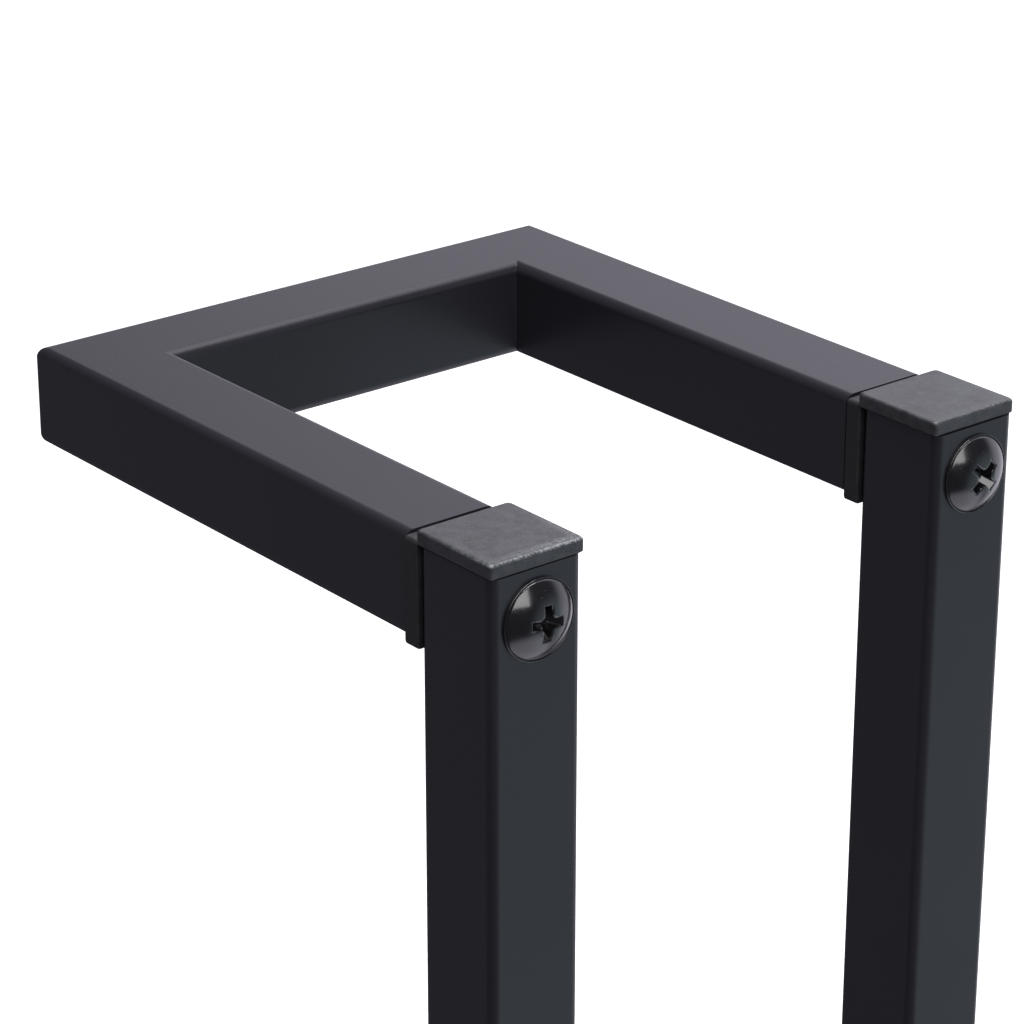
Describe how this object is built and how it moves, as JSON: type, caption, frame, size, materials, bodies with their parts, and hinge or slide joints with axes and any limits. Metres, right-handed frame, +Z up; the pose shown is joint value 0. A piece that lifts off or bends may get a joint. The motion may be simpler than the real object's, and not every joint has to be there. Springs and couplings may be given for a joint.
{
  "type": "firewood log rack",
  "caption": "Open-top firewood rack of black square steel tube: end frames whose tops return inwards in mitred U hoops, joined by a low ladder base.",
  "frame": {"origin": "on the floor, at the middle of the rack's footprint", "axes": "+Z up, +X along the rack from its left end to its right end, +Y from front to back"},
  "size_m": [0.6072, 0.1256, 0.5],
  "materials": {
    "powder_coat": "satin black powder coat with a very fine texture",
    "cap_plastic": "matte moulded black plastic, lightly scuffed",
    "insert_plastic": "matte moulded black plastic",
    "black_screw": "glossy black zinc or lacquer over steel",
    "zinc_steel": "bright zinc plating"
  },
  "bodies": {
    "root": {"upright_front_left": "powder_coat", "upright_back_left": "powder_coat", "upright_front_right": "powder_coat", "upright_back_right": "powder_coat", "top_cap_front_left": "cap_plastic", "top_cap_back_left": "cap_plastic", "top_cap_front_right": "cap_plastic", "top_cap_back_right": "cap_plastic", "foot_cap_front_left": "cap_plastic", "foot_cap_back_left": "cap_plastic", "foot_cap_front_right": "cap_plastic", "foot_cap_back_right": "cap_plastic", "return_arm_front_left": "powder_coat", "return_arm_back_left": "powder_coat", "return_arm_front_right": "powder_coat", "return_arm_back_right": "powder_coat", "return_bar_left": "powder_coat", "return_bar_right": "powder_coat", "base_rail_front": "powder_coat", "base_rail_back": "powder_coat", "cross_bar_left": "powder_coat", "cross_bar_middle": "powder_coat", "cross_bar_right": "powder_coat", "return_insert_front_left": "insert_plastic", "return_insert_back_left": "insert_plastic", "return_insert_front_right": "insert_plastic", "return_insert_back_right": "insert_plastic", "return_nut_front_left": "zinc_steel", "return_nut_back_left": "zinc_steel", "return_nut_front_right": "zinc_steel", "return_nut_back_right": "zinc_steel", "return_screw_front_left": "black_screw", "return_screw_back_left": "black_screw", "return_screw_front_right": "black_screw", "return_screw_back_right": "black_screw", "rail_insert_front_left": "insert_plastic", "rail_insert_back_left": "insert_plastic", "rail_insert_front_right": "insert_plastic", "rail_insert_back_right": "insert_plastic", "rail_nut_front_left": "zinc_steel", "rail_nut_back_left": "zinc_steel", "rail_nut_front_right": "zinc_steel", "rail_nut_back_right": "zinc_steel", "rail_screw_front_left": "black_screw", "rail_screw_back_left": "black_screw", "rail_screw_front_right": "black_screw", "rail_screw_back_right": "black_screw"}
  },
  "joints": []
}
